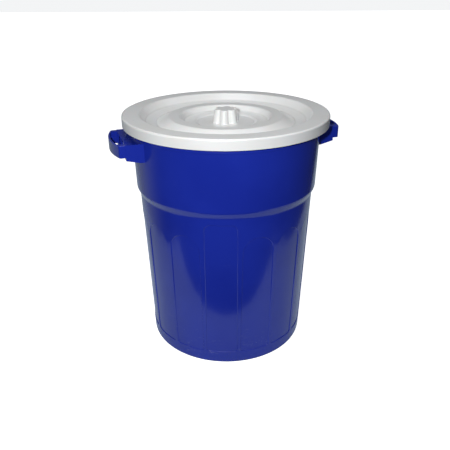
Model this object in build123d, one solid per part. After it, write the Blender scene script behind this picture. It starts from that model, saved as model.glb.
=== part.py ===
from build123d import *

"""Household open-head drum, about 60 litres, with a lift-off lid.

Millimetres, +Z up, origin at the middle of the foot ring on the floor. The handles lie on the X axis
and -Y is the front. Every outline of a turned part is a list of (radius, height, corner fillet).
"""

import os
from math import radians, sin

# ---- Drum wall ----------------------------------------------------------------------------------
DRUM_HEIGHT = 560.0        # floor to the top of the rim
MOUTH_DIAMETER = 430.0     # over the wall just under the rim
UPPER_TAPER = 4.7          # the wall's radius drops by this from the rim to the shoulder
SHOULDER_STEP = 6.8        # and by this over the shoulder
LOWER_TAPER = 14.8         # and by this from the shoulder to the floor
SHOULDER_DROP = 161.5      # rim top down to the start of the shoulder
SHOULDER_HEIGHT = 14.5
SHOULDER_FILLET = 12.0
DRUM_WALL = 3.0

# ---- Drum base: a foot ring round a pushed-up middle --------------------------------------------
BASE_FILLET = 11.0         # outside, wall to foot ring
FOOT_WIDTH = 9.0           # flat that rests on the floor
FOOT_ROUNDING = 2.0
PUSH_UP = 5.0              # floor's middle above the foot ring
PUSH_UP_SLOPE = 7.0        # width of the slope between them

# ---- Rim: a flange with a turned-down lip --------------------------------------------------------
RIM_PROUD = 15.0           # flange beyond the wall
RIM_LIP = 15.0             # rim top down to the lip's edge
LIP_ROUNDING = 1.2
BEAD_DROP = 31.0           # rim top down to the middle of the stiffening bead
BEAD_HEIGHT = 8.0
BEAD_PROUD = 0.8

# ---- Panels round the lower wall ----------------------------------------------------------------
PANEL_COUNT = 15
PANEL_TURN = -21.3         # degrees from the front to the middle of the label panel
PANEL_ANGLE = 21.3         # degrees that a panel takes up
PANEL_DEPTH = 1.5
PANEL_BEVEL = 1.4          # slope round a panel's floor
PANEL_FOOT = 34.0          # floor to a panel's bottom edge
PANEL_TOP_GAP = 49.0       # shoulder's foot down to an arched panel's crown
PANEL_CORNER = 8.0         # rounding at a panel's foot
ARCH_SHARE = 0.995         # of a full half circle, so that the arch keeps a short flat crown
LABEL_TOP_GAP = 15.0       # shoulder's foot down to the label panel's flat top
LABEL_CORNER = 14.0        # rounding at the label panel's top

# ---- Handle brackets, moulded on the wall under the lid ----------------------------------------
BRACKET_WIDTH = 134.0      # outside the two end walls
BRACKET_PROUD = 26.0       # mouth of the drum to the outer face of the pads
BRACKET_DROP = 37.0        # rim top down to the roof's top
BRACKET_DEPTH = 41.0       # roof top down to an end wall's lower edge, at the wall
BRACKET_RISE = 7.0         # rise of that edge from the wall to the pad
BRACKET_WALL = 3.0
PAD_WIDTH = 17.0           # pad that a grip's foot seats on, inside an end wall

# ---- Grips: bowed straps that snap into the brackets ---------------------------------------------
GRIP_HEIGHT = 27.0
GRIP_WALL = 4.0
GRIP_BOW = 12.5            # the strap's middle beyond its ends
GRIP_CORNER = 5.0          # rounding of the strap's ends, seen from above
GRIP_EDGE = 1.2            # rounding of the strap's long edges
GRIP_TOP_DROP = 0.5        # roof top down to the strap's top
FOOT_DEPTH = 13.0          # pad to the strap's outer face, at the ends
FOOT_LENGTH = 15.0         # foot that seats on a pad, along the strap
SEAT_CLEARANCE = 0.1       # between a foot and its pad
STUD_SPACING = 12.0        # between the two studs of a foot, up the pad
STUD_DIAMETER = 5.0
STUD_CLEARANCE = 0.2       # all round, stud in its hole
BARB = 1.0                 # head beyond the stud, all round
BARB_LENGTH = 2.5
BARB_TIP = 0.5             # tip inside the stud's radius

# ---- Lid, sizes from the skirt inwards -----------------------------------------------------------
LID_WALL = 2.5
LID_SIDE_CLEARANCE = 1.5   # rim to the inside of the skirt
LID_SEAT_CLEARANCE = 0.3   # rim top to the underside of the lid
SKIRT_HEIGHT = 22.7        # lid top down to the skirt's edge
LID_EDGE_FILLET = 4.0
LID_FILLET = 6.0           # rounding of the lid's broad bends
CREST_FILLET = 9.0
LID_CREASE = 3.0           # rounding of the groove and the hub's edge
RING_WIDTH = 39.0          # flat ring, from the outside of the skirt
STEP_WIDTH = 14.0          # sloping wall inside it
STEP_DEPTH = 16.0
GROOVE_WIDTH = 24.0        # floor that falls from there to the groove
GROOVE_DEPTH = 21.5
RISE_WIDTH = 28.0          # slope that rises from the groove to the crest
CREST_WIDTH = 26.0         # rounded top of the crest
CREST_DEPTH = 9.5
DISH_SLOPE_WIDTH = 9.0     # steep inner side of the crest
DISH_DEPTH = 22.0
DISH_FLOOR_WIDTH = 23.0
DISH_FALL = 0.5            # the dish's floor drops by this towards the hub
HUB_STEP_WIDTH = 7.0       # small step down to the hub
HUB_DEPTH = 25.5

# ---- Knob, screw and washer ----------------------------------------------------------------------
KNOB_HEIGHT = 30.5
KNOB_DIAMETER = 61.0       # over the lobes, at the base
KNOB_TAPER = 5.0           # the radius drops by this to the top
KNOB_LOBES = 6
KNOB_TURN = -28.5          # degrees from the front to the middle of a lobe
LOBE_RADIUS = 10.0
LOBE_GROOVE = 2.5          # rounding between a lobe and the core
GROOVE_CUT = 7.5           # depth of the grooves between the lobes
KNOB_EDGE = 2.0            # rounding round the top
KNOB_WALL = 3.0
BOSS_WALL = 4.5            # round the screw
SCREW_DIAMETER = 5.0
SCREW_LENGTH = 22.0
SCREW_HEAD_PROUD = 2.5     # head beyond the shank
SCREW_HEAD_HEIGHT = 3.2
SCREW_CLEARANCE = 0.3      # screw in the lid's and the washer's holes, all round
THREAD_CLEARANCE = 0.05    # screw in the knob's boss, all round
BORE_SPARE = 1.0           # bore beyond the screw's end
RECESS_LENGTH = 5.0        # cross recess in the screw's head
RECESS_WIDTH = 1.3
RECESS_DEPTH = 1.6
WASHER_DIAMETER = 20.0
WASHER_THICKNESS = 1.2

# ---- Worked out from the sizes above -------------------------------------------------------------
MOUTH_RADIUS = MOUTH_DIAMETER / 2
UPPER_RADIUS = MOUTH_RADIUS - UPPER_TAPER
WAIST_RADIUS = UPPER_RADIUS - SHOULDER_STEP
BASE_RADIUS = WAIST_RADIUS - LOWER_TAPER
RIM_RADIUS = MOUTH_RADIUS + RIM_PROUD
SHOULDER_TOP = DRUM_HEIGHT - SHOULDER_DROP
SHOULDER_FOOT = SHOULDER_TOP - SHOULDER_HEIGHT
LID_TOP = DRUM_HEIGHT + LID_SEAT_CLEARANCE + LID_WALL
LID_RADIUS = RIM_RADIUS + LID_SIDE_CLEARANCE + LID_WALL
RING_INNER = LID_RADIUS - RING_WIDTH
STEP_FOOT = RING_INNER - STEP_WIDTH
GROOVE_RADIUS = STEP_FOOT - GROOVE_WIDTH
CREST_OUTER = GROOVE_RADIUS - RISE_WIDTH
CREST_INNER = CREST_OUTER - CREST_WIDTH
DISH_RADIUS = CREST_INNER - DISH_SLOPE_WIDTH
HUB_STEP_RADIUS = DISH_RADIUS - DISH_FLOOR_WIDTH
HUB_RADIUS = HUB_STEP_RADIUS - HUB_STEP_WIDTH
HUB_TOP = LID_TOP - HUB_DEPTH
ROOF_TOP = DRUM_HEIGHT - BRACKET_DROP
BRACKET_REACH = MOUTH_RADIUS + BRACKET_PROUD
BRACKET_HALF = BRACKET_WIDTH / 2
PAD_MIDDLE = BRACKET_HALF - PAD_WIDTH / 2
GRIP_REACH = BRACKET_REACH + FOOT_DEPTH + GRIP_BOW
GRIP_MIDDLE_Z = ROOF_TOP - GRIP_TOP_DROP - GRIP_HEIGHT / 2
STUD_LEVELS = (GRIP_MIDDLE_Z - STUD_SPACING / 2, GRIP_MIDDLE_Z + STUD_SPACING / 2)
STUD_RADIUS = STUD_DIAMETER / 2
LOBE_PITCH = KNOB_DIAMETER / 2 - LOBE_RADIUS
SCREW_RADIUS = SCREW_DIAMETER / 2
ON_BASE = (Align.CENTER, Align.CENTER, Align.MIN)
SIDES = {"left_grip": 180, "right_grip": 0}


def turned(corners):
    """Solid of revolution about Z, from (radius, height, corner fillet) corners."""
    points = [(radius, height) for radius, height, _ in corners]
    fillets = [fillet for _, _, fillet in corners]
    outline = FilletPolyline(*points, radius=fillets, close=True)
    return revolve(Plane.XZ * make_face(outline), axis=Axis.Z)


def wall_radius(z):
    """Outer radius of the drum's wall at a height, beads and panels left out."""
    if z >= SHOULDER_TOP:
        share = (z - SHOULDER_TOP) / SHOULDER_DROP
        return UPPER_RADIUS + (MOUTH_RADIUS - UPPER_RADIUS) * share
    if z >= SHOULDER_FOOT:
        share = (z - SHOULDER_FOOT) / SHOULDER_HEIGHT
        return WAIST_RADIUS + (UPPER_RADIUS - WAIST_RADIUS) * share
    return BASE_RADIUS + (WAIST_RADIUS - BASE_RADIUS) * z / SHOULDER_FOOT


# ---- Drum ----------------------------------------------------------------------------------------
def drum_shell():
    """Wall, shoulder, base and rim, turned as one outline."""
    ring_inner = BASE_RADIUS - BASE_FILLET - FOOT_WIDTH
    middle = ring_inner - PUSH_UP_SLOPE
    lip_edge = DRUM_HEIGHT - RIM_LIP
    outside = [
        (0, PUSH_UP, 0),
        (middle, PUSH_UP, FOOT_ROUNDING),
        (ring_inner, 0, FOOT_ROUNDING),
        (BASE_RADIUS, 0, BASE_FILLET),
        (WAIST_RADIUS, SHOULDER_FOOT, SHOULDER_FILLET),
        (UPPER_RADIUS, SHOULDER_TOP, SHOULDER_FILLET),
        (MOUTH_RADIUS, DRUM_HEIGHT - DRUM_WALL, DRUM_WALL),
        (RIM_RADIUS - DRUM_WALL, DRUM_HEIGHT - DRUM_WALL, LIP_ROUNDING),
        (RIM_RADIUS - DRUM_WALL, lip_edge, LIP_ROUNDING),
        (RIM_RADIUS, lip_edge, LIP_ROUNDING),
        (RIM_RADIUS, DRUM_HEIGHT, DRUM_WALL),
    ]
    inside = [
        (MOUTH_RADIUS - DRUM_WALL, DRUM_HEIGHT, DRUM_WALL),
        (UPPER_RADIUS - DRUM_WALL, SHOULDER_TOP, SHOULDER_FILLET),
        (WAIST_RADIUS - DRUM_WALL, SHOULDER_FOOT, SHOULDER_FILLET),
        (BASE_RADIUS - DRUM_WALL, DRUM_WALL, BASE_FILLET - DRUM_WALL),
        (ring_inner, DRUM_WALL, FOOT_ROUNDING),
        (middle, PUSH_UP + DRUM_WALL, FOOT_ROUNDING),
        (0, PUSH_UP + DRUM_WALL, 0),
    ]
    return turned(outside + inside)


def stiffening_bead():
    """Low rounded bead round the wall, just below the lid's skirt."""
    z = DRUM_HEIGHT - BEAD_DROP
    half = BEAD_HEIGHT / 2
    root = wall_radius(z) - DRUM_WALL / 2
    return turned([
        (root, z - half, 0),
        (wall_radius(z - half), z - half, 0),
        (wall_radius(z) + BEAD_PROUD, z, half / 2),
        (wall_radius(z + half), z + half, 0),
        (root, z + half, 0),
    ])


def panel_outline(width, top, corner):
    """Upright panel outline in (across, up); a corner of half the width makes a round arch."""
    half = width / 2
    return make_face(FilletPolyline(
        (-half, PANEL_FOOT), (half, PANEL_FOOT), (half, top), (-half, top),
        radius=[PANEL_CORNER, PANEL_CORNER, corner, corner], close=True))


def panel_cutters():
    """What the recessed panels take from the wall: its outer skin inside each panel's outline."""
    skin = turned([
        (BASE_RADIUS - PANEL_DEPTH, 0, 0),
        (BASE_RADIUS + DRUM_WALL, 0, 0),
        (WAIST_RADIUS + DRUM_WALL, SHOULDER_FOOT, 0),
        (WAIST_RADIUS - PANEL_DEPTH, SHOULDER_FOOT, 0),
    ])
    middle_z = (PANEL_FOOT + SHOULDER_FOOT) / 2
    width = 2 * wall_radius(middle_z) * sin(radians(PANEL_ANGLE / 2))
    outlines = {
        "label": panel_outline(width, SHOULDER_FOOT - LABEL_TOP_GAP, LABEL_CORNER),
        "arched": panel_outline(width, SHOULDER_FOOT - PANEL_TOP_GAP, ARCH_SHARE * width / 2),
    }
    cutters = {}
    for kind, outline in outlines.items():
        cutter = extrude(Plane.XZ * outline, 2 * WAIST_RADIUS) & skin
        floor = cutter.faces().filter_by(GeomType.CONE).sort_by(Axis.Y)[-1]
        cutters[kind] = chamfer(floor.edges(), PANEL_BEVEL)
    turns = [PANEL_TURN + number * 360 / PANEL_COUNT for number in range(PANEL_COUNT)]
    return [Rot(0, 0, turn) * cutters["arched" if number else "label"]
            for number, turn in enumerate(turns)]


def stud_holes():
    """Holes for the grip's studs, through both pads of the +X bracket."""
    holes = []
    for across in (-PAD_MIDDLE, PAD_MIDDLE):
        for level in STUD_LEVELS:
            place = Pos(BRACKET_REACH - BRACKET_WALL / 2, across, level) * Rot(0, 90, 0)
            holes.append(place * Cylinder(STUD_RADIUS + STUD_CLEARANCE, 2 * BRACKET_WALL))
    return holes


def bracket():
    """One handle bracket on the +X side: roof, two end walls with rising lower edges, two pads."""
    lower = ROOF_TOP - BRACKET_DEPTH
    root = wall_radius(lower) - DRUM_WALL / 2
    side = make_face(Polyline(
        (0, ROOF_TOP), (BRACKET_REACH, ROOF_TOP), (BRACKET_REACH, lower + BRACKET_RISE),
        (root, lower), (0, lower), close=True))
    block = extrude(Plane.XZ * side, BRACKET_HALF, both=True)
    room_height = 2 * (BRACKET_DEPTH - BRACKET_WALL)
    room = Pos(0, 0, lower) * Box(
        2 * (BRACKET_REACH - BRACKET_WALL), 2 * (BRACKET_HALF - BRACKET_WALL), room_height)
    mouth = Pos(0, 0, lower) * Box(
        4 * BRACKET_REACH, 2 * (BRACKET_HALF - PAD_WIDTH), room_height)
    other_side = Pos(-BRACKET_REACH, 0, ROOF_TOP) * Box(
        2 * BRACKET_REACH, 2 * BRACKET_WIDTH, 2 * DRUM_HEIGHT)
    drum_room = turned([
        (0, 0, 0),
        (BASE_RADIUS - DRUM_WALL / 2, 0, 0),
        (UPPER_RADIUS - DRUM_WALL / 2, SHOULDER_TOP, 0),
        (MOUTH_RADIUS - DRUM_WALL / 2, DRUM_HEIGHT, 0),
        (0, DRUM_HEIGHT, 0),
    ])
    return block - other_side - room - mouth - drum_room - stud_holes()


def drum_body():
    """The whole blue moulding, with a bracket at each side."""
    body = drum_shell() + stiffening_bead() - panel_cutters()
    for turn in SIDES.values():
        body = body + Rot(0, 0, turn) * bracket()
    return body


# ---- Grips ---------------------------------------------------------------------------------------
def studs(face):
    """Two barbed studs on each foot: a shank through the pad and a tapered head behind it."""
    shank_length = FOOT_DEPTH / 2 + BRACKET_WALL + 2 * SEAT_CLEARANCE
    shank = Cylinder(STUD_RADIUS, shank_length, align=ON_BASE)
    barb = Pos(0, 0, shank_length) * Cone(
        STUD_RADIUS + BARB, STUD_RADIUS - BARB_TIP, BARB_LENGTH, align=ON_BASE)
    pieces = []
    for across in (-PAD_MIDDLE, PAD_MIDDLE):
        for level in STUD_LEVELS:
            place = Pos(face + FOOT_DEPTH / 2, across, level) * Rot(0, -90, 0)
            pieces.append(place * (shank + barb))
    return pieces


def grip():
    """Grip on the +X side: bowed strap, a foot at each end and the studs that snap into the pads."""
    outer = (BRACKET_HALF ** 2 + GRIP_BOW ** 2) / (2 * GRIP_BOW)
    face = BRACKET_REACH + SEAT_CLEARANCE
    middle = Pos(GRIP_REACH - outer, 0)
    outside_pads = Pos(face + GRIP_REACH / 2, 0) * Rectangle(GRIP_REACH, BRACKET_WIDTH)
    plan = middle * Circle(outer) & outside_pads
    plan = fillet(plan.vertices().sort_by(Axis.X)[-2:], GRIP_CORNER)
    between_feet = Pos(face, 0) * Rectangle(
        4 * (FOOT_DEPTH + GRIP_BOW), 2 * (BRACKET_HALF - FOOT_LENGTH))
    plan = plan - (middle * Circle(outer - GRIP_WALL) & between_feet)
    body = Pos(0, 0, GRIP_MIDDLE_Z) * extrude(plan, GRIP_HEIGHT / 2, both=True)
    rims = body.edges().filter_by(GeomType.CIRCLE).group_by(Axis.Z)
    body = fillet(rims[0] + rims[-1], GRIP_EDGE)
    return body + studs(face)


# ---- Lid -----------------------------------------------------------------------------------------
def inset(corners, wall):
    """Corners of a profile's other side: each side moved square to itself by the wall's thickness."""
    places = [Vector(radius, height) for radius, height, _ in corners]
    ways = [(end - start).normalized() for start, end in zip(places, places[1:])]
    moved = []
    for place, (_, _, corner), before, after in zip(
            places, corners, ways[:1] + ways, ways + ways[-1:]):
        inward = (before + after).rotate(Axis.Z, 90) * (wall / (1 + before.dot(after)))
        bulges = before.cross(after).Z > 0
        rounding = max(corner - wall, 0) if bulges else corner + wall
        moved.append((place.X + inward.X, place.Y + inward.Y, rounding if corner else 0))
    return moved


def lid():
    """The white moulding: skirt, flat ring on the rim, groove, crest, dish and hub."""
    top = [
        (LID_RADIUS, LID_TOP - SKIRT_HEIGHT, 0),
        (LID_RADIUS, LID_TOP, LID_EDGE_FILLET),
        (RING_INNER, LID_TOP, LID_FILLET),
        (STEP_FOOT, LID_TOP - STEP_DEPTH, LID_FILLET),
        (GROOVE_RADIUS, LID_TOP - GROOVE_DEPTH, LID_CREASE),
        (CREST_OUTER, LID_TOP - CREST_DEPTH, CREST_FILLET),
        (CREST_INNER, LID_TOP - CREST_DEPTH, CREST_FILLET),
        (DISH_RADIUS, LID_TOP - DISH_DEPTH, LID_FILLET),
        (HUB_STEP_RADIUS, LID_TOP - DISH_DEPTH - DISH_FALL, LID_CREASE),
        (HUB_RADIUS, HUB_TOP, LID_CREASE),
        (0, HUB_TOP, 0),
    ]
    shape = turned(top + inset(top, LID_WALL)[::-1])
    return shape - Pos(0, 0, HUB_TOP) * Cylinder(SCREW_RADIUS + SCREW_CLEARANCE, 4 * LID_WALL)


# ---- Knob and its fastening ----------------------------------------------------------------------
def lobe_places():
    """Turns that carry a lobe's shape from the X axis to each lobe's place."""
    return [Rot(0, 0, KNOB_TURN - 90 + number * 360 / KNOB_LOBES) for number in range(KNOB_LOBES)]


def knob_section():
    """Flower-shaped foot of the knob: round lobes on a round core."""
    section = Circle(KNOB_DIAMETER / 2 - GROOVE_CUT)
    for place in lobe_places():
        section = section + place * Pos(LOBE_PITCH, 0) * Circle(LOBE_RADIUS)
    return fillet(section.vertices(), LOBE_GROOVE)


def knob_hollow():
    """Section of the hollow at the foot: a round middle with a slot out into each lobe."""
    section = Circle(KNOB_DIAMETER / 2 - GROOVE_CUT - KNOB_WALL)
    for place in lobe_places():
        slot = SlotCenterToCenter(LOBE_PITCH, 2 * (LOBE_RADIUS - KNOB_WALL))
        section = section + place * Pos(LOBE_PITCH / 2, 0) * slot
    return section


def tapered(section, height):
    """Upright solid on a section, drawn in towards its top as the knob is."""
    share = 1 - KNOB_TAPER / (KNOB_DIAMETER / 2)
    return loft([section, Pos(0, 0, height) * scale(section, by=share)])


def lid_knob():
    """Fluted hollow knob that stands on the lid's hub, with a boss for the screw."""
    body = tapered(knob_section(), KNOB_HEIGHT)
    body = fillet(body.faces().sort_by(Axis.Z)[-1].edges(), KNOB_EDGE)
    room = tapered(knob_hollow(), KNOB_HEIGHT - KNOB_WALL)
    boss = Cylinder(SCREW_RADIUS + BOSS_WALL, KNOB_HEIGHT - KNOB_WALL / 2, align=ON_BASE)
    bore = Cylinder(SCREW_RADIUS + THREAD_CLEARANCE, 2 * (SCREW_LENGTH + BORE_SPARE))
    return Pos(0, 0, HUB_TOP) * (body - room + boss - bore)


def knob_washer():
    """Flat washer against the underside of the lid."""
    hole = Cylinder(SCREW_RADIUS + SCREW_CLEARANCE, 2 * WASHER_THICKNESS)
    middle_z = HUB_TOP - LID_WALL - WASHER_THICKNESS / 2
    return Pos(0, 0, middle_z) * (Cylinder(WASHER_DIAMETER / 2, WASHER_THICKNESS) - hole)


def knob_screw():
    """Pan-head screw up through the washer and the lid into the knob's boss."""
    seat = HUB_TOP - LID_WALL - WASHER_THICKNESS
    head = Pos(0, 0, seat - SCREW_HEAD_HEIGHT) * Cylinder(
        SCREW_RADIUS + SCREW_HEAD_PROUD, SCREW_HEAD_HEIGHT, align=ON_BASE)
    head = fillet(head.edges().group_by(Axis.Z)[0], SCREW_HEAD_HEIGHT / 3)
    shank = Pos(0, 0, seat) * Cylinder(SCREW_RADIUS, SCREW_LENGTH, align=ON_BASE)
    slot = Box(RECESS_LENGTH, RECESS_WIDTH, 2 * RECESS_DEPTH)
    cross = Pos(0, 0, seat - SCREW_HEAD_HEIGHT) * (slot + Rot(0, 0, 90) * slot)
    return head + shank - cross


def main():
    os.makedirs("parts", exist_ok=True)
    nodes = {
        "drum_body": drum_body(),
        "lid": lid(),
        "lid_knob": lid_knob(),
        "knob_washer": knob_washer(),
        "knob_screw": knob_screw(),
    }
    for name, turn in SIDES.items():
        nodes[name] = Rot(0, 0, turn) * grip()
    for name, shape in nodes.items():
        export_step(shape, f"parts/{name}.step")
        print(name, round(shape.volume / 1000, 1), "cm3")


main()
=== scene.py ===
# %% [markdown]
# # A household drum with a lift-off lid
#
# The real object is injection-moulded ware: a glossy blue drum, two snap-on grips and a white lid with
# a fluted knob. Its shapes come from the frame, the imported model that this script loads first. The
# script then gives each moulding its finish, and sets up a small studio: paper, light, camera.

# %% Load the frame
from math import radians

import bpy
from mathutils import Matrix, Vector


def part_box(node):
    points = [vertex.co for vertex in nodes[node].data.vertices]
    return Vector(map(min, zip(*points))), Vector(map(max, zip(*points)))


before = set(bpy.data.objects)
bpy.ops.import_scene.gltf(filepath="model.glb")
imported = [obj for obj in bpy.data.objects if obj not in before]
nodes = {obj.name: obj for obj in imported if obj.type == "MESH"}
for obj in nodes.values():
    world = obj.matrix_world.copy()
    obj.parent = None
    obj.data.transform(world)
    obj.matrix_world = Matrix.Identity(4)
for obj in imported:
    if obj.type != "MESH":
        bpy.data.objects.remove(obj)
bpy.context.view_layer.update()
print("nodes:", ", ".join(sorted(nodes)))

# %% [markdown]
# ## Measures that several steps use
#
# Every place is read off the frame's nodes, so nothing is typed in twice: the lid's radius, the level
# of its top, and the height of the drum. The camera's turn and distance are here too, because the
# paper, the room and the lights are set out as the camera sees them.

# %% Places read off the frame
lid_low, lid_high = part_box("lid")
_, drum_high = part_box("drum_body")
lid_radius = (lid_high.x - lid_low.x) / 2
lid_top = lid_high.z
drum_top = drum_high.z
print("lid radius", round(lid_radius, 4), "lid top", round(lid_top, 4), "drum top", round(drum_top, 4))

CAMERA_TURN = -18.0  # degrees round the drum, from straight in front
CAMERA_DISTANCE = 1.237  # from the drum's upright axis
stage_turn = Matrix.Rotation(radians(CAMERA_TURN), 4, "Z")

# %% [markdown]
# ## Shader maths as plain expressions
#
# A material is a graph of nodes, and most of a good plastic is arithmetic on a few noise patterns.
# Wiring Math nodes one by one hides that arithmetic. So a small class wraps a socket, and each
# operator on it adds the Math node it stands for: `1 - mask` then reads as it does on paper.


# %% A socket that can be added, multiplied and compared
class Value:
    """A number that varies over the surface; arithmetic on it adds Math nodes."""

    def __init__(self, finish, socket):
        self.finish = finish
        self.socket = socket

    def math(self, operation, *others):
        """One Math node with this value first."""
        return self.finish.node(
            "ShaderNodeMath", {"operation": operation}, dict(enumerate((self, *others))))

    def __add__(self, other):
        return self.math("ADD", other)

    def __radd__(self, other):
        return self.math("ADD", other)

    def __sub__(self, other):
        return self.math("SUBTRACT", other)

    def __rsub__(self, other):
        return (self * -1) + other

    def __mul__(self, other):
        return self.math("MULTIPLY", other)

    def __rmul__(self, other):
        return self.math("MULTIPLY", other)

    def __abs__(self):
        return self.math("ABSOLUTE")

    def smooth(self, low, high):
        """0 below low, 1 above high, with soft ends; low may be the larger for a falling step."""
        return self.finish.node(
            "ShaderNodeMapRange", {"interpolation_type": "SMOOTHSTEP"},
            {"Value": self, "From Min": low, "From Max": high})


# %% A material with a method that adds nodes
class Finish:
    """A material under construction. node() adds a node and gives back its first output."""

    def __init__(self, name, **constants):
        self.material = bpy.data.materials.new(name)
        self.material.use_nodes = True
        self.tree = self.material.node_tree
        self.shader = self.tree.nodes["Principled BSDF"]
        for socket, value in constants.items():
            self.shader.inputs[socket.replace("_", " ")].default_value = value

    def node(self, kind, settings=None, sockets=None, output=0):
        """Adds a node: settings first, then each socket gets a number, a colour or a link."""
        node = self.tree.nodes.new(kind)
        for name, value in (settings or {}).items():
            setattr(node, name, value)
        for key, value in (sockets or {}).items():
            self.plug(node.inputs[key], value)
        return Value(self, node.outputs[output])

    def plug(self, socket, value):
        """Links a Value to a socket, or sets the socket's own number."""
        if isinstance(value, Value):
            self.tree.links.new(value.socket, socket)
        else:
            socket.default_value = value

    def place(self, scale=(1, 1, 1), turn=(0, 0, 0)):
        """The point on the object, in metres, stretched and turned for a pattern."""
        point = self.node("ShaderNodeTexCoord", output="Object")
        turn = [radians(angle) for angle in turn]
        return self.node("ShaderNodeMapping", sockets={"Vector": point, "Rotation": turn, "Scale": scale})

    def noise(self, size, detail=3.0, roughness=0.5, stretch=(1, 1, 1), turn=(0, 0, 0)):
        """Soft cloudy noise, 0 to 1, whose blobs are about size metres across."""
        return self.node("ShaderNodeTexNoise", sockets={
            "Vector": self.place(stretch, turn), "Scale": 1 / size, "Detail": detail,
            "Roughness": roughness})

    def specks(self, size, threshold, softness=0.1):
        """Small round dots: 1 inside a dot. A larger threshold makes larger dots."""
        distance = self.node("ShaderNodeTexVoronoi", sockets={
            "Vector": self.place(), "Scale": 1 / size, "Randomness": 1.0})
        return distance.smooth(threshold, threshold * (1 - softness) - 0.01)

    def scratches(self, spacing, width, turn, length=14):
        """Fine lines: where a noise that is drawn out along one direction crosses its middle."""
        drawn = self.noise(spacing, detail=1.0, stretch=(1, 1 / length, 1 / length), turn=turn)
        return abs(drawn - 0.5).smooth(width, 0)

    def axes(self):
        """The object point's three numbers, in metres."""
        point = self.node("ShaderNodeTexCoord", output="Object")
        split = self.tree.nodes.new("ShaderNodeSeparateXYZ")
        self.tree.links.new(point.socket, split.inputs[0])
        return [Value(self, out) for out in split.outputs]

    def radius(self):
        """Distance from the drum's upright axis, in metres."""
        across, deep, _ = self.axes()
        return (across * across + deep * deep).math("SQRT")

    def height(self):
        """Height above the floor at rest, in metres."""
        return self.axes()[2]

    def blend(self, share, first, second):
        """Colour that goes from first to second as share goes from 0 to 1."""
        return self.node("ShaderNodeMix", {"data_type": "RGBA"},
                         {"Factor": share, 6: first, 7: second}, output=2)

    def bump(self, height, strength, distance, normal=None):
        """Normal for the shader from a height pattern; distance is its depth in metres."""
        sockets = {"Height": height, "Strength": strength, "Distance": distance}
        if normal is not None:
            sockets["Normal"] = normal
        return self.node("ShaderNodeBump", sockets=sockets)

    def finish(self, **sockets):
        """Links the finished patterns to the shader."""
        for name, value in sockets.items():
            self.plug(self.shader.inputs[name.replace("_", " ")], value)
        return self.material


class Room(Finish):
    """The world's own node tree, painted with the same helpers; directions stand in for places."""

    def __init__(self, world):
        self.tree = world.node_tree
        self.background = self.tree.nodes["Background"]

    def axes(self):
        """The direction's three numbers, on the camera's own across, along and up."""
        direction = self.node("ShaderNodeTexCoord", output="Generated")
        seen = self.node("ShaderNodeMapping", sockets={
            "Vector": direction, "Rotation": (0, 0, radians(-CAMERA_TURN))})
        split = self.tree.nodes.new("ShaderNodeSeparateXYZ")
        self.tree.links.new(seen.socket, split.inputs[0])
        return [Value(self, out) for out in split.outputs]

    def paint(self, tone):
        """Gives the world its colour."""
        self.plug(self.background.inputs["Color"], tone)


def dress(node_name, material):
    """Gives a CAD node its material."""
    slots = nodes[node_name].data.materials
    slots.clear()
    slots.append(material)
    print(node_name, "wears", material.name)


# %% [markdown]
# ## Glossy blue drum plastic
#
# The drum is polypropylene with blue pigment in it, moulded against polished steel. It is never quite
# even: pigment drifts a little, the skin has a faint orange-peel ripple from the flow, and handling
# leaves hairline scratches, dull scuffs low on the wall and a dusting near the floor. A coat of clear
# gloss over a slightly rougher base gives the deep, wet look such ware has.

# %% Blue plastic
PLASTIC_IOR = 1.49
BLUE = (0.0074, 0.0192, 0.268, 1)
BLUE_LIGHT = (0.0092, 0.0230, 0.300, 1)
DUST = (0.30, 0.31, 0.34, 1)
WALL_SCUFFS = (0.02, 0.14)  # scuffs are thick below the first height and gone above the second
GRIP_SCUFFS = (drum_top - 0.10, drum_top - 0.03)


def blue_plastic(name, scuff_low, scuff_high):
    """Blue moulded plastic; scuffs are thick below scuff_low and gone above scuff_high."""
    plastic = Finish(name, IOR=PLASTIC_IOR, Specular_IOR_Level=0.5,
                     Coat_IOR=PLASTIC_IOR, Coat_Roughness=0.05)
    drift = plastic.noise(0.16, detail=2)
    ripple = plastic.noise(0.010, detail=2)
    scuff_zone = plastic.height().smooth(scuff_high, scuff_low)
    rubs = plastic.noise(0.030, detail=5, roughness=0.65, stretch=(1, 1, 2.5))
    rubbed = rubs.smooth(0.58, 0.74) * (scuff_zone * 0.8 + 0.08)
    hairs = plastic.scratches(0.022, 0.003, (20, 35, 10)) + plastic.scratches(0.027, 0.003, (-40, 15, 70))
    hairs = hairs * plastic.noise(0.06, detail=2).smooth(0.52, 0.70)
    dots = plastic.specks(0.006, 0.10)
    dust = dots * plastic.noise(0.05).smooth(0.45, 0.7) * (scuff_zone * 0.8 + 0.1)
    colour = plastic.blend(drift.smooth(0.35, 0.65), BLUE, BLUE_LIGHT)
    colour = plastic.blend(rubbed * 0.10 + dust * 0.25, colour, DUST)
    rough = 0.13 + drift * 0.05 + rubbed * 0.16 + hairs * 0.08 + dust * 0.3
    skin = plastic.bump(ripple, 0.08, 0.0003)
    skin = plastic.bump(hairs * -1, 0.05, 0.0001, skin)
    return plastic.finish(
        Base_Color=colour, Roughness=rough, Coat_Weight=0.06 - rubbed * 0.05, Normal=skin)


drum_blue = blue_plastic("drum_blue_plastic", *WALL_SCUFFS)
grip_blue = blue_plastic("grip_blue_plastic", *GRIP_SCUFFS)
dress("drum_body", drum_blue)
dress("left_grip", grip_blue)
dress("right_grip", grip_blue)
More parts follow.
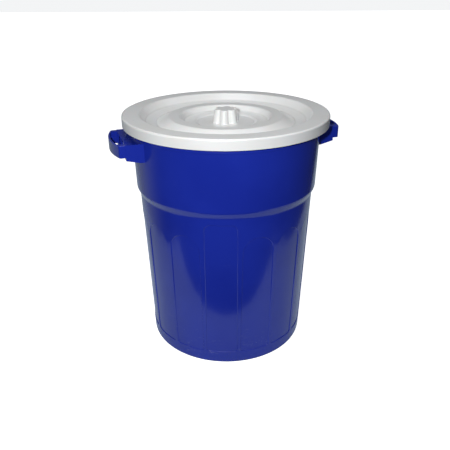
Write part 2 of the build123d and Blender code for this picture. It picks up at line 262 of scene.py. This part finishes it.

# %% [markdown]
# ## Off-white lid plastic
#
# The lid is the same plastic with white pigment. Light goes a little way into it, which softens its
# edges, so it has a touch of subsurface scattering. Fine dirt specks lie scattered over it, and thin rings
# of painted shade darken its creases: the step, the groove, the dish and the hub round the knob.
# Hairline scratches leave it a little smoother along their lines.

# %% White plastic
WHITE = (0.70, 0.71, 0.71, 1)
WHITE_WARM = (0.67, 0.675, 0.66, 1)
# One dark tone for the real dirt specks and for the painted shade in the lid's creases.
DIRT_AND_SHADE = (0.30, 0.30, 0.29, 1)


def white_plastic(name, shade_rings=()):
    """White moulded plastic with dirt specks; each shade ring is a radius and a width along which painted
    shade darkens it.
    """
    plastic = Finish(name, IOR=PLASTIC_IOR, Coat_IOR=PLASTIC_IOR, Coat_Roughness=0.18,
                     Subsurface_Weight=0.04, Subsurface_Scale=0.004)
    drift = plastic.noise(0.10, detail=3)
    ripple = plastic.noise(0.006, detail=3)
    blotch = plastic.noise(0.035, detail=5, roughness=0.6)
    hairs = plastic.scratches(0.010, 0.007, (0, 0, 25)) + plastic.scratches(0.013, 0.006, (0, 0, 110))
    dirt_and_crease_shade = plastic.specks(0.005, 0.09) * blotch.smooth(0.5, 0.75) * 0.5
    # Each ring is painted shade along a crease of the lid, added to the dirt specks.
    for ring_radius, ring_width in shade_rings:
        near = abs(plastic.radius() - ring_radius).smooth(ring_width, 0)
        dirt_and_crease_shade = dirt_and_crease_shade + near * (0.25 + blotch * 0.35)
    colour = plastic.blend(drift.smooth(0.35, 0.7), WHITE, WHITE_WARM)
    # The dirt specks and the painted crease shade darken the colour here.
    colour = plastic.blend(dirt_and_crease_shade * 0.45, colour, DIRT_AND_SHADE)
    rough = 0.30 + drift * 0.10 + dirt_and_crease_shade * 0.25 - hairs * 0.06
    skin = plastic.bump(ripple, 0.08, 0.0003)
    skin = plastic.bump(hairs * -1, 0.10, 0.0001, skin)
    return plastic.finish(Base_Color=colour, Roughness=rough, Coat_Weight=0.35 - dirt_and_crease_shade * 0.2, Normal=skin)


# Thin rings of painted shade darken the lid at these creases, where shadow falls.
LID_CREASES = (0.774, 0.671, 0.402, 0.274)  # step, groove, dish and hub, as shares of the lid's radius
CREASE_SHADE_WIDTH = 0.003
crease_shade_rings = [(share * lid_radius, CREASE_SHADE_WIDTH) for share in LID_CREASES]
lid_white = white_plastic("lid_white_plastic", crease_shade_rings)
knob_white = white_plastic("knob_white_plastic")
dress("lid", lid_white)
dress("lid_knob", knob_white)

# %% [markdown]
# ## Steel screw and washer
#
# The fastening under the lid is plain stainless steel. The washer is stamped from rolled sheet, so its
# roughness runs in fine straight lines, and the screw is turned, so both get a noise that is drawn out
# one way, with a little staining where damp sits.

# %% Stainless steel
STEEL = (0.55, 0.55, 0.56, 1)
STAIN = (0.30, 0.26, 0.22, 1)


def stainless(name):
    """Plain stainless steel with rolling lines and faint stains."""
    steel = Finish(name, Metallic=1.0)
    lines = steel.noise(0.0006, detail=2, stretch=(1, 0.05, 1))
    stains = steel.noise(0.004, detail=4).smooth(0.55, 0.75)
    colour = steel.blend(stains * 0.5, STEEL, STAIN)
    rough = 0.22 + lines * 0.16 + stains * 0.2
    return steel.finish(Base_Color=colour, Roughness=rough, Normal=steel.bump(lines, 0.1, 0.00005))


steel = stainless("stainless_steel")
dress("knob_washer", steel)
dress("knob_screw", steel)

# %% [markdown]
# ## Paper, backdrop and light
#
# Glossy plastic shows mostly what stands round it, so the studio matters as much as the material. The
# drum stands on cool white paper, which lights up the lower wall from below. In front the paper ends soon,
# and past it the drum mirrors a dim room, which is what gives the wall its deep blue middle. The floor
# beyond the paper is seen by the camera alone, so that the picture's ground is pale everywhere.

# %% Floor and paper
PAPER_FRONT = 0.37
PAPER_BACK = 2.6
PAPER_HALF_FRONT = 0.62
PAPER_HALF_BACK = 1.30
PAPER_LEVEL = -0.0005
FLOOR_REACH = 12
FLOOR_LEVEL = -0.004
GROUND_GLOW = 1.0
MATT = 0.8
COOL_PAPER = (0.64, 0.76, 0.86, 1)
PALE_GROUND = (0.86, 0.86, 0.87, 1)


def sheet_material(name, colour, glow=0.0):
    """Plain matt paper with a faint tooth; glow lifts it evenly towards white."""
    paper = Finish(name, Specular_IOR_Level=0.2, Emission_Color=(1, 1, 1, 1), Emission_Strength=glow)
    tooth = paper.noise(0.02, detail=4)
    shade = paper.blend(tooth * 0.3, colour, [0.97 * part for part in colour[:3]] + [1])
    return paper.finish(Base_Color=shade, Roughness=MATT + tooth * 0.05)


def flat_sheet(name, front, half_front, back, half_back, level, material):
    """A flat stage sheet: half its width at its front and back edges, as the camera sees them."""
    corners = [(-half_front, front), (half_front, front), (half_back, back), (-half_back, back)]
    mesh = bpy.data.meshes.new(name)
    mesh.from_pydata([(x, y, level) for x, y in corners], [], [(0, 1, 2, 3)])
    mesh.transform(stage_turn)
    sheet = bpy.data.objects.new(name, mesh)
    bpy.context.scene.collection.objects.link(sheet)
    mesh.materials.append(material)
    return sheet


cool_paper = sheet_material("cool_paper", COOL_PAPER)
pale_ground = sheet_material("pale_ground", PALE_GROUND, glow=GROUND_GLOW)
floor = flat_sheet(
    "floor", -FLOOR_REACH, FLOOR_REACH, FLOOR_REACH, FLOOR_REACH, FLOOR_LEVEL, pale_ground)
floor.visible_glossy = False
floor.visible_diffuse = False
paper = flat_sheet(
    "paper", -PAPER_FRONT, PAPER_HALF_FRONT, PAPER_BACK, PAPER_HALF_BACK, PAPER_LEVEL, cool_paper)
paper.visible_camera = False
paper.visible_shadow = False

# %% [markdown]
# The room round the stage is the world. Behind the drum hangs a pale backdrop, low over the floor. The
# rest of the room is dim, lighter only low at the back left, where there is a wall, and overhead. Three
# masks on the direction make it, with no geometry. That room is only mirrored: where a camera looks
# past the floor it sees a plain pale wall.

# %% World
DARK_ROOM = (0.035, 0.040, 0.050, 1)
LEFT_WALL = (0.31, 0.355, 0.345, 1)
CEILING = (0.42, 0.42, 0.43, 1)
BACKDROP = (0.45, 0.45, 0.46, 1)
PALE_WALL = (0.90, 0.91, 0.92, 1)
BACKDROP_TOP = 0.20
BACKDROP_FADE = 0.18

world = bpy.data.worlds.new("studio_room")
bpy.context.scene.world = world
world.use_nodes = True
room = Room(world)
across, along, up = room.axes()
above_floor = up.smooth(BACKDROP_TOP, BACKDROP_TOP - BACKDROP_FADE) * up.smooth(-0.02, 0.02)
backdrop = along.smooth(0.55, 0.80) * above_floor
left_side = across.smooth(-0.15, -0.6) * along.smooth(-0.1, 0.5) * up.smooth(0.5, 0.1)
overhead = up.smooth(0.15, 0.9)
tone = room.blend(left_side, DARK_ROOM, LEFT_WALL)
tone = room.blend(overhead, tone, CEILING)
tone = room.blend(backdrop, tone, BACKDROP)
seen_directly = room.node("ShaderNodeLightPath")
room.paint(room.blend(seen_directly, tone, PALE_WALL))


# %% Lights
def softbox(name, place, aim, size, power):
    """A round area light at a place given on the camera's own axes, aimed at a point."""
    data = bpy.data.lights.new(name, "AREA")
    data.shape = "DISK"
    data.size = size
    data.energy = power
    light = bpy.data.objects.new(name, data)
    bpy.context.scene.collection.objects.link(light)
    light.location = stage_turn @ Vector(place)
    towards = stage_turn @ (Vector(aim) - Vector(place))
    light.rotation_euler = towards.to_track_quat("-Z", "Y").to_euler()
    return light


softbox("flash", place=(-0.12, -CAMERA_DISTANCE, 0.90), aim=(0, 0, 0.80), size=0.04, power=15)
softbox("ceiling", place=(-0.15, 0.0, 2.4), aim=(0, 0, 0.3), size=1.2, power=12)

# %% [markdown]
# ## Camera
#
# The picture is taken from close by and above, about 1.24 m from the drum's axis, looking down 25
# degrees. Close views spread an object out, so distance and lens both matter: the distance sets how
# much larger the rim looks than the foot, and the lens then sets the size in the frame.

# %% Camera
CAMERA_ABOVE_LID = 0.2895
CAMERA_DOWN = 24.95
CAMERA_YAW = 0.14
CAMERA_ROLL = -0.3
LENS = 43.9
SENSOR_WIDTH = 36
camera_data = bpy.data.cameras.new("camera")
camera_data.lens = LENS
camera_data.sensor_width = SENSOR_WIDTH
camera = bpy.data.objects.new("camera", camera_data)
bpy.context.scene.collection.objects.link(camera)
camera.location = stage_turn @ Vector((0, -CAMERA_DISTANCE, lid_top + CAMERA_ABOVE_LID))
aim = Matrix.Rotation(radians(CAMERA_TURN + CAMERA_YAW), 3, "Z")
aim = aim @ Matrix.Rotation(radians(90 - CAMERA_DOWN), 3, "X")
aim = aim @ Matrix.Rotation(radians(CAMERA_ROLL), 3, "Z")
camera.rotation_euler = aim.to_euler()
bpy.context.scene.camera = camera
bpy.context.scene.view_settings.view_transform = "Standard"
